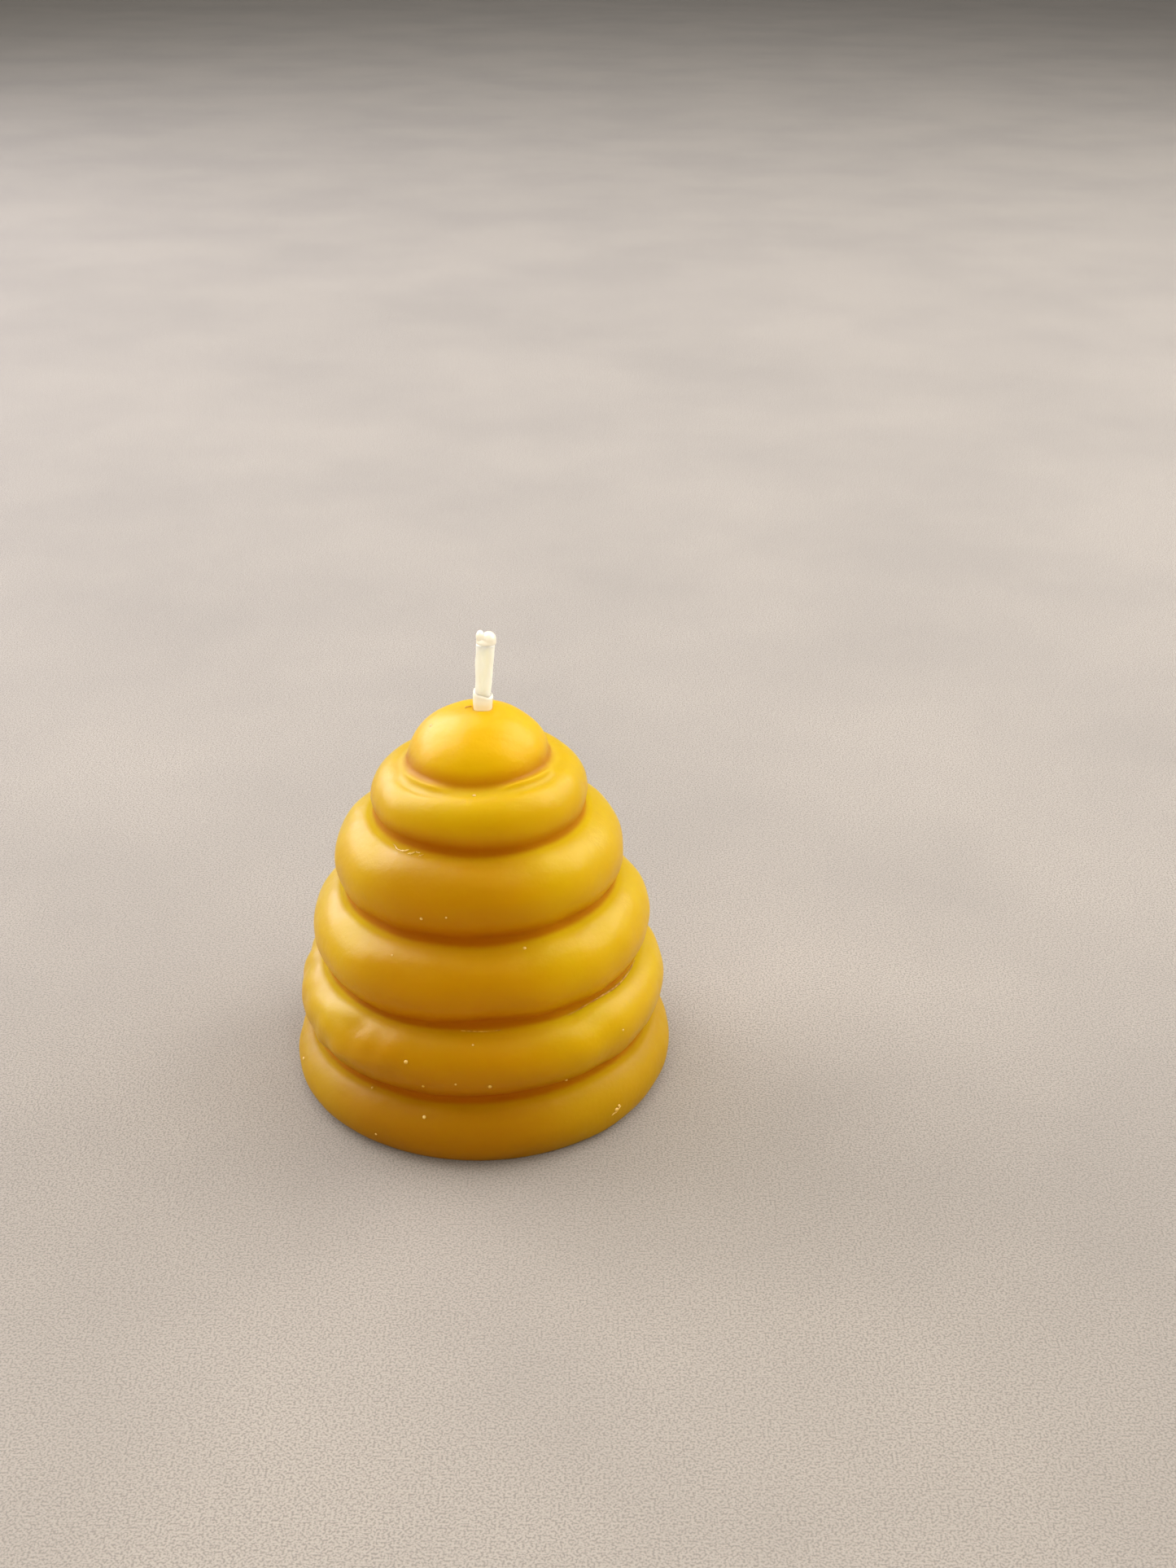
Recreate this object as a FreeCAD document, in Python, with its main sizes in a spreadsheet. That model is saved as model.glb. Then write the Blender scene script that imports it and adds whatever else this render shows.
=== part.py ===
"""Beeswax skep candle: a cast wax body of five coils and a dome, on a braided cotton wick.

Row frame in millimetres: +Z up, the origin at the centre of the flat base, +X to the side that the
wick leans to.  Every size is a cell of the Dimensions sheet.
"""
import FreeCAD, Part
import math
import os

import Sketcher

DIMENSIONS = {
    # Coils of the casting, each a round section: outer radius, height of its middle, section radius.
    "foot_outer": 28.5, "foot_level": 4.2, "foot_round": 5.4,
    "lower_coil_outer": 27.5, "lower_coil_level": 14.7, "lower_coil_round": 5.26,
    "middle_coil_outer": 24.9, "middle_coil_level": 25.6, "middle_coil_round": 6.24,
    "upper_coil_outer": 21.06, "upper_coil_level": 36.8, "upper_coil_round": 6.6,
    "crown_coil_outer": 15.75, "crown_coil_level": 46.4, "crown_coil_round": 4.55,
    "dome_outer": 10.3, "dome_level": 51.05, "dome_round": 7.0, "dome_top": 59.35,
    # The creases between the coils are hollow rounds, the one under the dome a larger one.
    "crease_round": 1.0, "neck_round": 2.0,
    # Wick: a square braid in a skin of primer wax, upright in the body and aslant above its collar.
    # It stands a little off the casting's axis, to the side that it leans to.
    "wick_place": 0.75,
    "skin_side": 2.28, "skin_corner": 0.7, "skin_top_side": 2.6, "skin_top_corner": 0.8,
    "bore_side": 2.04, "bore_corner": 0.52,
    "channel_corner": 0.6,
    "bend_level": 61.7, "bend_radius": 18.0, "lean_angle": 3.6, "leaning_run": 6.2,
    "braid_reach": 0.97, "braid_waist": 0.34, "braid_lay": 11.5,
    "strand_diameter": 0.34, "strand_inset": 0.12,
    # Collar of primer wax round the foot of the wick, set in a round seat in the top of the dome.
    "collar_diameter": 2.95, "collar_top": 61.65, "collar_sunk": 0.75, "collar_rim_round": 0.09,
    "seat_diameter": 3.03,
    # Tip: a pad of wax on the end of the wick with two beads side by side, one tall and one wide.
    "tip_pad_rise": 0.45,
    "tall_bead_radius": 0.85, "tall_bead_place": -0.52, "tall_bead_level": 1.05,
    "wide_bead_radius": 1.12, "wide_bead_place": 0.28, "wide_bead_level": 0.35,
}
COILS = ["foot", "lower_coil", "middle_coil", "upper_coil", "crown_coil", "dome"]
STRANDS_PER_TRACK = 4
POINTS_PER_LAY = 8
ARC_SHARE = 0.45          # the part of a run that the arc at either end of it may take
START, END, CENTRE = 1, 2, 3
ORIGIN = (-1, 1)
VERTICAL_AXIS = -2
UP = FreeCAD.Vector(0, 0, 1)

doc = FreeCAD.newDocument("skep_candle")
sheet = doc.addObject("Spreadsheet::Sheet", "Dimensions")


# ---- sheet, sketches and features ------------------------------------------------------------------


def fill_sheet():
    """Writes each dimension to a row: its name in column A, its value and alias in column B."""
    for row, (name, value) in enumerate(DIMENSIONS.items(), start=1):
        sheet.set(f"A{row}", name)
        sheet.set(f"B{row}", str(value))
        sheet.setAlias(f"B{row}", name)
    doc.recompute()


def size(name):
    """The value of a sheet cell, for starting values and for shapes made in code."""
    return float(sheet.get(name))


def cell(name):
    """The expression that reads a sheet cell."""
    return f"Dimensions.{name}"


def new_body(label):
    """An empty PartDesign body with its own label."""
    body = doc.addObject("PartDesign::Body", label)
    body.Label = label
    return body


def attach(feature, body, role):
    """Puts a sketch or primitive on one of its body's own origin planes, such as XZ_Plane."""
    plane = next(plane for plane in body.Origin.OriginFeatures if plane.Role == role)
    feature.AttachmentSupport = [(plane, "")]
    feature.MapMode = "FlatFace"


def new_sketch(body, name, role):
    """An empty sketch on an origin plane of its body."""
    sketch = body.newObject("Sketcher::SketchObject", name)
    attach(sketch, body, role)
    return sketch


def stand_with_wick(body):
    """Places a body on the wick's line, off the casting's axis."""
    body.setExpression("Placement.Base.x", cell("wick_place"))


def lift(feature, z, x="0", lean="0"):
    """Moves a sketch or primitive off its plane by expressions; it leans about the plane's Y axis."""
    about_y = FreeCAD.Rotation(FreeCAD.Vector(0, 1, 0), 1)
    feature.AttachmentOffset = FreeCAD.Placement(FreeCAD.Vector(), about_y)
    feature.setExpression("AttachmentOffset.Base.x", x)
    feature.setExpression("AttachmentOffset.Base.z", z)
    feature.setExpression("AttachmentOffset.Rotation.Angle", lean)


def dimension(sketch, kind, places, expression, value):
    """Adds a dimension to a sketch and ties it to the sheet; value only starts it."""
    index = sketch.addConstraint(Sketcher.Constraint(kind, *places, value))
    sketch.setExpression(f"Constraints[{index}]", expression)


def centre_at(sketch, curve, across, up):
    """Dimensions the centre of an arc from the sketch's origin; each place is (expression, value)."""
    dimension(sketch, "DistanceX", (*ORIGIN, curve, CENTRE), *across)
    dimension(sketch, "DistanceY", (*ORIGIN, curve, CENTRE), *up)


def arc(centre, radius, start_angle, end_angle):
    """A circular arc, anticlockwise from one angle to another, both in radians."""
    circle = Part.Circle(FreeCAD.Vector(*centre, 0), UP, radius)
    return Part.ArcOfCircle(circle, start_angle, end_angle)


def segment(start, end):
    """A straight line between two points of a sketch's plane."""
    return Part.LineSegment(FreeCAD.Vector(*start, 0), FreeCAD.Vector(*end, 0))


def rounded_square(body, name, side, corner):
    """A square with round corners, centred on the origin; side and corner are sheet names."""
    sketch = new_sketch(body, name, "XY_Plane")
    radius = size(corner)
    straight = size(side) / 2 - radius
    half = size(side) / 2
    lines, arcs = [], []
    for quarter in range(4):
        turn = FreeCAD.Rotation(UP, 90 * quarter)
        ends = [turn.multVec(FreeCAD.Vector(half, y, 0)) for y in (-straight, straight)]
        middle = turn.multVec(FreeCAD.Vector(straight, straight, 0))
        angle = quarter * math.pi / 2
        lines.append(sketch.addGeometry(Part.LineSegment(*ends), False))
        turned_arc = arc((middle.x, middle.y), radius, angle, angle + math.pi / 2)
        arcs.append(sketch.addGeometry(turned_arc, False))
    for quarter in range(4):
        sketch.addConstraint(Sketcher.Constraint("Tangent", lines[quarter], END, arcs[quarter], START))
        following = lines[(quarter + 1) % 4]
        sketch.addConstraint(Sketcher.Constraint("Tangent", arcs[quarter], END, following, START))
        level = "Vertical" if quarter % 2 == 0 else "Horizontal"
        sketch.addConstraint(Sketcher.Constraint(level, lines[quarter]))
    for quarter in range(1, 4):
        sketch.addConstraint(Sketcher.Constraint("Equal", arcs[0], arcs[quarter]))
    dimension(sketch, "Radius", (arcs[0],), cell(corner), radius)
    offset = f"{cell(side)} / 2 - {cell(corner)}"
    centre_at(sketch, arcs[0], (offset, straight), (offset, straight))
    sketch.addConstraint(Sketcher.Constraint("Symmetric", arcs[0], CENTRE, arcs[2], CENTRE, *ORIGIN))
    return sketch


def disc(body, name, diameter):
    """A circle on the origin; diameter is a sheet name."""
    sketch = new_sketch(body, name, "XY_Plane")
    circle = sketch.addGeometry(Part.Circle(FreeCAD.Vector(), UP, size(diameter) / 2), False)
    sketch.addConstraint(Sketcher.Constraint("Coincident", circle, CENTRE, *ORIGIN))
    dimension(sketch, "Diameter", (circle,), cell(diameter), size(diameter))
    return sketch


def add_feature(body, kind, name, profile, **settings):
    """Adds a feature made from a sketch to a body; settings are its other properties."""
    feature = body.newObject("PartDesign::" + kind, name)
    feature.Profile = profile
    for key, value in settings.items():
        setattr(feature, key, value)
    return feature


# ---- wax body ------------------------------------------------------------------------------------


def coil_section(name):
    """(centre, radius) of a coil's round section in the half profile."""
    radius = size(name + "_round")
    return (size(name + "_outer") - radius, size(name + "_level")), radius


def crease_section(lower, upper, radius):
    """(centre, radius) of the hollow round that touches two coil sections from outside."""
    (lower_x, lower_y), lower_radius = lower
    (upper_x, upper_y), upper_radius = upper
    to_lower = lower_radius + radius
    to_upper = upper_radius + radius
    dx, dy = upper_x - lower_x, upper_y - lower_y
    span = math.hypot(dx, dy)
    along = (span ** 2 + to_lower ** 2 - to_upper ** 2) / (2 * span)
    aside = math.sqrt(to_lower ** 2 - along ** 2)
    x = lower_x + (dx * along + dy * aside) / span
    y = lower_y + (dy * along - dx * aside) / span
    return (x, y), radius


def crown_section(shoulder):
    """(centre, radius) of the arc about the axis that ends at the dome's top, tangent to its shoulder."""
    (x, y), radius = shoulder
    rise = size("dome_top") - y
    crown = (x ** 2 + rise ** 2 - radius ** 2) / (2 * (rise - radius))
    return (0.0, size("dome_top") - crown), crown


def direction(origin, point):
    """Angle in radians from one point of the profile to another."""
    return math.atan2(point[1] - origin[1], point[0] - origin[0])


def casting_profile(body):
    """Half section of the casting: coil arcs and crease arcs in one tangent chain, crown, axis, base."""
    sketch = new_sketch(body, "coil_profile", "XZ_Plane")
    coils = [coil_section(name) for name in COILS]
    rounds = ["crease_round"] * 4 + ["neck_round"]
    creases = [crease_section(a, b, size(r)) for a, b, r in zip(coils, coils[1:], rounds)]
    crown_centre, crown_radius = crown_section(coils[-1])

    (foot_x, foot_y), foot_radius = coils[0]
    edge = foot_x + math.sqrt(foot_radius ** 2 - foot_y ** 2)
    starts = [direction((foot_x, foot_y), (edge, 0.0))]
    starts += [direction(coil[0], crease[0]) for coil, crease in zip(coils[1:], creases)]
    ends = [direction(coil[0], crease[0]) for coil, crease in zip(coils, creases)]
    ends.append(direction(crown_centre, coils[-1][0]))

    coil_arcs = [sketch.addGeometry(arc(*coil, a, b), False) for coil, a, b in zip(coils, starts, ends)]
    crease_arcs = []
    for crease, lower_end, upper_start in zip(creases, ends, starts[1:]):
        turned = arc(*crease, upper_start + math.pi, lower_end + math.pi)
        crease_arcs.append(sketch.addGeometry(turned, False))
    crown = sketch.addGeometry(arc(crown_centre, crown_radius, ends[-1], math.pi / 2), False)
    axis = sketch.addGeometry(segment((0.0, size("dome_top")), (0.0, 0.0)), False)
    base = sketch.addGeometry(segment((0.0, 0.0), (edge, 0.0)), False)

    for name, curve, (centre, radius) in zip(COILS, coil_arcs, coils):
        across = (f"{cell(name + '_outer')} - {cell(name + '_round')}", centre[0])
        centre_at(sketch, curve, across, (cell(name + "_level"), centre[1]))
        dimension(sketch, "Radius", (curve,), cell(name + "_round"), radius)
    for index, (curve, name) in enumerate(zip(crease_arcs, rounds)):
        sketch.addConstraint(Sketcher.Constraint("Tangent", coil_arcs[index], END, curve, END))
        sketch.addConstraint(Sketcher.Constraint("Tangent", curve, START, coil_arcs[index + 1], START))
        dimension(sketch, "Radius", (curve,), cell(name), size(name))
    sketch.addConstraint(Sketcher.Constraint("Tangent", coil_arcs[-1], END, crown, START))
    sketch.addConstraint(Sketcher.Constraint("PointOnObject", crown, CENTRE, VERTICAL_AXIS))
    sketch.addConstraint(Sketcher.Constraint("Coincident", crown, END, axis, START))
    dimension(sketch, "DistanceY", (*ORIGIN, axis, START), cell("dome_top"), size("dome_top"))
    sketch.addConstraint(Sketcher.Constraint("Vertical", axis))
    sketch.addConstraint(Sketcher.Constraint("Coincident", axis, END, *ORIGIN))
    sketch.addConstraint(Sketcher.Constraint("Coincident", base, START, *ORIGIN))
    sketch.addConstraint(Sketcher.Constraint("Horizontal", base))
    sketch.addConstraint(Sketcher.Constraint("Coincident", base, END, coil_arcs[0], START))
    return sketch


def make_skep_body():
    """The casting: one turned shape, with the wick's channel and the collar's seat taken out."""
    body = new_body("skep_body")
    profile = casting_profile(body)
    add_feature(body, "Revolution", "casting", profile, ReferenceAxis=(profile, ["V_Axis"]), Angle=360)
    channel = rounded_square(body, "channel_section", "skin_side", "channel_corner")
    lift(channel, "0", x=cell("wick_place"))
    add_feature(body, "Pocket", "wick_channel", channel, Type="ThroughAll", Reversed=True)
    seat = disc(body, "seat_circle", "seat_diameter")
    lift(seat, f"{cell('dome_top')} - {cell('collar_sunk')}", x=cell("wick_place"))
    add_feature(body, "Pocket", "collar_seat", seat, Type="ThroughAll", Reversed=True)
    return body


# ---- wick ------------------------------------------------------------------------------------------


def wick_line(body):
    """The wick's centre line from the wick's foot: upright to the bend, an arc, then straight aslant."""
    sketch = new_sketch(body, "wick_line", "XZ_Plane")
    level, radius, run = size("bend_level"), size("bend_radius"), size("leaning_run")
    lean = math.radians(size("lean_angle"))
    bend_end = (radius * (1 - math.cos(lean)), level + radius * math.sin(lean))
    tip = (bend_end[0] + run * math.sin(lean), bend_end[1] + run * math.cos(lean))
    upright = sketch.addGeometry(segment((0.0, 0.0), (0.0, level)), False)
    bend = sketch.addGeometry(arc((radius, level), radius, math.pi - lean, math.pi), False)
    leaning = sketch.addGeometry(segment(bend_end, tip), False)
    sketch.addConstraint(Sketcher.Constraint("Coincident", upright, START, *ORIGIN))
    sketch.addConstraint(Sketcher.Constraint("Vertical", upright))
    dimension(sketch, "DistanceY", (upright, START, upright, END), cell("bend_level"), level)
    sketch.addConstraint(Sketcher.Constraint("Tangent", upright, END, bend, END))
    dimension(sketch, "Radius", (bend,), cell("bend_radius"), radius)
    sketch.addConstraint(Sketcher.Constraint("Tangent", bend, START, leaning, START))
    rise = f"{cell('leaning_run')} * cos({cell('lean_angle')} * 1 deg)"
    reach = f"{cell('leaning_run')} * sin({cell('lean_angle')} * 1 deg)"
    dimension(sketch, "DistanceY", (leaning, START, leaning, END), rise, tip[1] - bend_end[1])
    dimension(sketch, "DistanceX", (leaning, START, leaning, END), reach, tip[0] - bend_end[0])
    return sketch


def lean_end(run):
    """Expressions (x, z) for the centre line at a distance, itself an expression, past the bend."""
    radius, angle = cell("bend_radius"), cell("lean_angle") + " * 1 deg"
    x = f"{radius} * (1 - cos({angle})) + ({run}) * sin({angle})"
    z = f"{cell('bend_level')} + {radius} * sin({angle}) + ({run}) * cos({angle})"
    return x, z


def make_primer_coat():
    """Wax skin on the whole wick: a square tube with round corners that widens a little to its top."""
    body = new_body("wick_primer_coat")
    line = wick_line(body)
    section = rounded_square(body, "skin_section", "skin_side", "skin_corner")
    add_feature(body, "AdditivePipe", "upright_skin", section, Spine=(line, ["Edge1", "Edge2"]))
    low = rounded_square(body, "lean_section", "skin_side", "skin_corner")
    high = rounded_square(body, "top_section", "skin_top_side", "skin_top_corner")
    for sketch, run in ((low, "0"), (high, cell("leaning_run"))):
        x, z = lean_end(run)
        lift(sketch, z, x=x, lean=cell("lean_angle"))
    add_feature(body, "AdditiveLoft", "leaning_skin", low, Sections=[high], Ruled=True)
    bore = rounded_square(body, "bore_section", "bore_side", "bore_corner")
    add_feature(body, "SubtractivePipe", "braid_bore", bore, Spine=(line, ["Edge1", "Edge2", "Edge3"]))
    stand_with_wick(body)
    return body


def wick_frame(distance):
    """(point, direction across) of the wick's centre line at a distance from its foot at the origin."""
    level, radius = size("bend_level"), size("bend_radius")
    lean = math.radians(size("lean_angle"))
    turned = min(max(distance - level, 0.0) / radius, lean)
    across = FreeCAD.Vector(math.cos(turned), 0, -math.sin(turned))
    along = FreeCAD.Vector(math.sin(turned), 0, math.cos(turned))
    if distance <= level:
        return FreeCAD.Vector(0, 0, distance), across
    point = FreeCAD.Vector(radius * (1 - math.cos(turned)), 0, level + radius * math.sin(turned))
    return point + along * (distance - level - radius * turned), across


def wick_length():
    """Length of the wick's centre line."""
    bent = size("bend_radius") * math.radians(size("lean_angle"))
    return size("bend_level") + bent + size("leaning_run")


def strand_point(track, phase, distance):
    """A point of a strand's middle.

    The four strands of a track go round one flat loop and those of the other track go round a loop
    square to it, the other way, so that they pass over and under each other as they climb.
    """
    angle = math.tau * distance / size("braid_lay") + phase
    wide, narrow = size("braid_reach"), size("braid_waist")
    if track == 0:
        u, v = wide * math.cos(angle), narrow * math.sin(angle)
    else:
        u, v = narrow * math.sin(angle), wide * math.cos(angle)
    point, across = wick_frame(distance)
    diagonal = math.sqrt(0.5)
    return point + across * ((u - v) * diagonal) + FreeCAD.Vector(0, (u + v) * diagonal, 0)


def rounded_path(points):
    """Straight runs between points, joined at each by an arc tangent to both runs."""
    edges = []
    last = points[0]
    for before, corner, after in zip(points, points[1:], points[2:]):
        back, ahead = before - corner, after - corner
        reach = ARC_SHARE * min(back.Length, ahead.Length)
        back.normalize()
        ahead.normalize()
        enter, leave = corner + back * reach, corner + ahead * reach
        half_turn = (math.pi - back.getAngle(ahead)) / 2
        radius = reach / math.tan(half_turn)
        inward = (back + ahead).normalize()
        middle = corner + inward * (radius / math.cos(half_turn) - radius)
        edges.append(Part.LineSegment(last, enter).toShape())
        edges.append(Part.Arc(enter, middle, leave).toShape())
        last = leave
    edges.append(Part.LineSegment(last, points[-1]).toShape())
    return Part.Wire(edges)


def make_strand(track, index):
    """One cotton strand: a round cord swept along its path in the braid."""
    phase = math.tau * (index + 0.5 * track) / STRANDS_PER_TRACK
    first = size("strand_inset")
    climb = wick_length() - 2 * first
    steps = round(climb / size("braid_lay") * POINTS_PER_LAY)
    points = [strand_point(track, phase, first + climb * step / steps) for step in range(steps + 1)]
    path = rounded_path(points)
    radius = size("strand_diameter") / 2
    section = Part.Wire([Part.Circle(points[0], points[1] - points[0], radius).toShape()])
    strand = doc.addObject("Part::Feature", f"wick_strand_{track * STRANDS_PER_TRACK + index + 1}")
    strand.Label = strand.Name
    strand.Shape = path.makePipeShell([section], True, False)
    strand.Placement = FreeCAD.Placement(FreeCAD.Vector(size("wick_place"), 0, 0), FreeCAD.Rotation())
    expected = math.pi * radius ** 2 * path.Length
    if abs(strand.Shape.Volume / expected - 1) > 0.02:
        raise RuntimeError(f"{strand.Label}: volume {strand.Shape.Volume:.3f}, expected {expected:.3f}")
    return strand


def make_collar():
    """Ring of wax at the wick's foot, round outside, with its top edge rounded over."""
    body = new_body("wick_foot_collar")
    circle = disc(body, "collar_circle", "collar_diameter")
    lift(circle, f"{cell('dome_top')} - {cell('collar_sunk')}")
    ring = add_feature(body, "Pad", "ring", circle)
    ring.setExpression("Length", f"{cell('collar_top')} - {cell('dome_top')} + {cell('collar_sunk')}")
    hole = rounded_square(body, "collar_bore", "skin_side", "channel_corner")
    bored = add_feature(body, "Pocket", "wick_hole", hole, Type="ThroughAll", Reversed=True)
    doc.recompute()
    rim = max(range(len(bored.Shape.Edges)), key=lambda index: rim_rank(bored.Shape.Edges[index]))
    rounded = body.newObject("PartDesign::Fillet", "rounded_rim")
    rounded.Base = (bored, [f"Edge{rim + 1}"])
    rounded.setExpression("Radius", cell("collar_rim_round"))
    stand_with_wick(body)
    return body


def rim_rank(edge):
    """Ranks an edge by its height and then by its length, so that the outer top edge comes first."""
    return round(edge.CenterOfMass.z, 3), edge.Length


def make_tip():
    """The wax that seals the wick's end: a pad with two round beads joined side by side on it."""
    body = new_body("wick_tip")
    pad = rounded_square(body, "pad_section", "skin_top_side", "skin_top_corner")
    add_feature(body, "Pad", "pad", pad).setExpression("Length", cell("tip_pad_rise"))
    for name in ("tall_bead", "wide_bead"):
        bead = body.newObject("PartDesign::AdditiveSphere", name)
        attach(bead, body, "XY_Plane")
        lift(bead, cell(name + "_level"), x=cell(name + "_place"))
        bead.setExpression("Radius", cell(name + "_radius"))
    underside = new_sketch(body, "underside", "XY_Plane")
    circle = underside.addGeometry(Part.Circle(FreeCAD.Vector(), UP, size("skin_top_side")), False)
    underside.addConstraint(Sketcher.Constraint("Coincident", circle, CENTRE, *ORIGIN))
    dimension(underside, "Radius", (circle,), cell("skin_top_side"), size("skin_top_side"))
    add_feature(body, "Pocket", "flat_underside", underside, Type="ThroughAll")
    end, across = wick_frame(wick_length())
    turned = FreeCAD.Rotation(across, FreeCAD.Vector(), UP, "XZY")
    body.Placement = FreeCAD.Placement(end + FreeCAD.Vector(size("wick_place"), 0, 0), turned)
    return body


def check(pieces):
    """Stops with a message unless every object is up to date and every piece is one valid solid."""
    for item in doc.Objects:
        if {"Invalid", "Error"} & set(item.State):
            raise RuntimeError(f"{item.Label}: {item.State}")
    for piece in pieces:
        shape = piece.Shape
        if shape.isNull() or not shape.isValid() or len(shape.Solids) != 1:
            raise RuntimeError(f"{piece.Label}: not one valid solid")
        box = shape.optimalBoundingBox()
        print(f"{piece.Label:20s} {shape.Volume:10.2f} mm3, {len(shape.Faces):3d} faces,"
              f" z {box.ZMin:7.3f} to {box.ZMax:7.3f}, x {box.XMin:7.3f} to {box.XMax:7.3f}")


fill_sheet()
pieces = [make_skep_body(), make_primer_coat(), make_collar(), make_tip()]
pieces += [make_strand(track, index) for track in (0, 1) for index in range(STRANDS_PER_TRACK)]
doc.recompute()
check(pieces)
os.makedirs("parts", exist_ok=True)
for piece in pieces:
    piece.Shape.exportStep(f"parts/{piece.Label}.step")
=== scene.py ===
"""Beeswax skep candle: the cast wax, its primed wick and a plain studio round them.

Sizes are in millimetres where a name or docstring says so and are turned to metres in the meshes.
The candle stands at the origin on the floor, with the wick leaning a little to +X.
"""
import logging
import math
from collections.abc import Sequence
from dataclasses import dataclass, field
from enum import Enum

import bpy
import numpy as np
from mathutils import Matrix, Vector


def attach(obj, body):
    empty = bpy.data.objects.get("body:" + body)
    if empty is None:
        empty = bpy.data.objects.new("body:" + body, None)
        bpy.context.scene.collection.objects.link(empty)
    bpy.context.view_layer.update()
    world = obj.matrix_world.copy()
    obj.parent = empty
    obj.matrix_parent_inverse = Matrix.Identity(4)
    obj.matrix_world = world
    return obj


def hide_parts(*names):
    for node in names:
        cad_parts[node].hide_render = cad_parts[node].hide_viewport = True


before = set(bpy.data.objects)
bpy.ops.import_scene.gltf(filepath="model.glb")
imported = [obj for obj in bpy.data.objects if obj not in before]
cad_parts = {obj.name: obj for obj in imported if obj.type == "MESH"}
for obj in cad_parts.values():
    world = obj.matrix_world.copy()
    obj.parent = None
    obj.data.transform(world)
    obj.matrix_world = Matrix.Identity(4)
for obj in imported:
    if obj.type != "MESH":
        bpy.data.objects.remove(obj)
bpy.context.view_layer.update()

MM = 0.001
BODY = "root"
log = logging.getLogger("skep_candle")


# ---- numbers and meshes ----------------------------------------------------------------------------


def smoothstep(low: float, high: float, value: np.ndarray) -> np.ndarray:
    """A smooth rise from 0 at low to 1 at high: 3t^2 - 2t^3, where t is the share of the way.

    Args:
        low: Where the rise starts.
        high: Where it ends; it may be under low, and the rise is then a fall.
        value: Places to work it out at.

    Returns:
        The rise at each place.
    """
    share = np.clip((value - low) / (high - low), 0.0, 1.0)
    return share * share * (3.0 - 2.0 * share)


def squircle(angle: np.ndarray, power: float) -> np.ndarray:
    """Reach of a rounded square of half side 1: (|cos a|^p + |sin a|^p)^(-1/p).

    Args:
        angle: Directions round the axis, in radians.
        power: 2 gives a circle, and a larger number a squarer outline.

    Returns:
        The distance from the middle to the outline in each direction.
    """
    return (np.abs(np.cos(angle)) ** power + np.abs(np.sin(angle)) ** power) ** (-1.0 / power)


class Ripple:
    """Smooth uneven relief: a sum of plane waves in space with seeded directions and phases."""

    def __init__(self, seed: int, wavelength: float, height: float, waves: int = 14) -> None:
        """Draws the waves.

        Args:
            seed: Seed of the draw.
            wavelength: Middle wavelength in millimetres.
            height: Root mean square height in millimetres.
            waves: How many waves are added up.
        """
        draw = np.random.default_rng(seed)
        direction = draw.normal(size=(waves, 3))
        direction /= np.linalg.norm(direction, axis=1, keepdims=True)
        length = wavelength * draw.uniform(0.7, 1.5, size=(waves, 1))
        self.waves = direction * (math.tau / length)
        self.phases = draw.uniform(0.0, math.tau, size=waves)
        self.height = height * math.sqrt(2.0 / waves)

    def at(self, points: np.ndarray) -> np.ndarray:
        """Relief at points: height times the sum of sin(wave . point + phase).

        Args:
            points: Array (..., 3) in millimetres.

        Returns:
            Array (...) of heights in millimetres.
        """
        return self.height * np.sin(points @ self.waves.T + self.phases).sum(axis=-1)


def grid_faces(rows: int, columns: int, loop_rows: bool) -> np.ndarray:
    """Quads of a grid whose columns close on themselves.

    Args:
        rows: Rows of vertices.
        columns: Vertices in a row; the last joins the first.
        loop_rows: Whether the last row joins the first as well.

    Returns:
        Array (faces, 4) of vertex numbers.
    """
    row = np.arange(rows if loop_rows else rows - 1)[:, None]
    column = np.arange(columns)[None, :]
    below, above = row * columns, ((row + 1) % rows) * columns
    right = (column + 1) % columns
    return np.stack([below + column, below + right, above + right, above + column], axis=-1).reshape(-1, 4)


def make_piece(name: str, points: np.ndarray, faces: list[list[int]]) -> bpy.types.Object:
    """A smooth-shaded mesh object at the origin.

    Args:
        name: Name of the piece.
        points: Array (vertices, 3) in millimetres.
        faces: Vertex numbers of each face, anticlockwise from outside.

    Returns:
        The new object, in the scene.
    """
    mesh = bpy.data.meshes.new(name)
    mesh.from_pydata(points * MM, [], faces)
    mesh.polygons.foreach_set("use_smooth", np.ones(len(mesh.polygons), dtype=bool))
    mesh.update()
    piece = bpy.data.objects.new(name, mesh)
    bpy.context.scene.collection.objects.link(piece)
    return piece


def closed_ring(name: str, points: np.ndarray) -> bpy.types.Object:
    """A piece with a hole through it: a grid that closes both ways.

    Args:
        name: Name of the piece.
        points: Array (rows, columns, 3) in millimetres; rows go out, up, in and down again.

    Returns:
        The new object.
    """
    rows, columns = points.shape[:2]
    return make_piece(name, points.reshape(-1, 3), grid_faces(rows, columns, loop_rows=True).tolist())


def ball_mesh(points: np.ndarray) -> tuple[np.ndarray, list[list[int]]]:
    """Vertices and faces of a grid closed by a vertex at each of its two poles.

    Args:
        points: Array (rows, columns, 3); the first row surrounds the lower pole.

    Returns:
        Array (rows * columns + 2, 3), the lower pole and the upper one last, and the faces.
    """
    rows, columns = points.shape[:2]
    count = rows * columns
    low_ring = np.arange(columns)
    low_next = (low_ring + 1) % columns
    last_row = (rows - 1) * columns
    low = np.stack([np.full(columns, count), low_next, low_ring], axis=-1)
    high = np.stack([np.full(columns, count + 1), last_row + low_ring, last_row + low_next], axis=-1)
    poles = np.stack([points[0].mean(axis=0), points[-1].mean(axis=0)])
    faces = grid_faces(rows, columns, loop_rows=False).tolist() + low.tolist() + high.tolist()
    return np.vstack([points.reshape(-1, 3), poles]), faces


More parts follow.
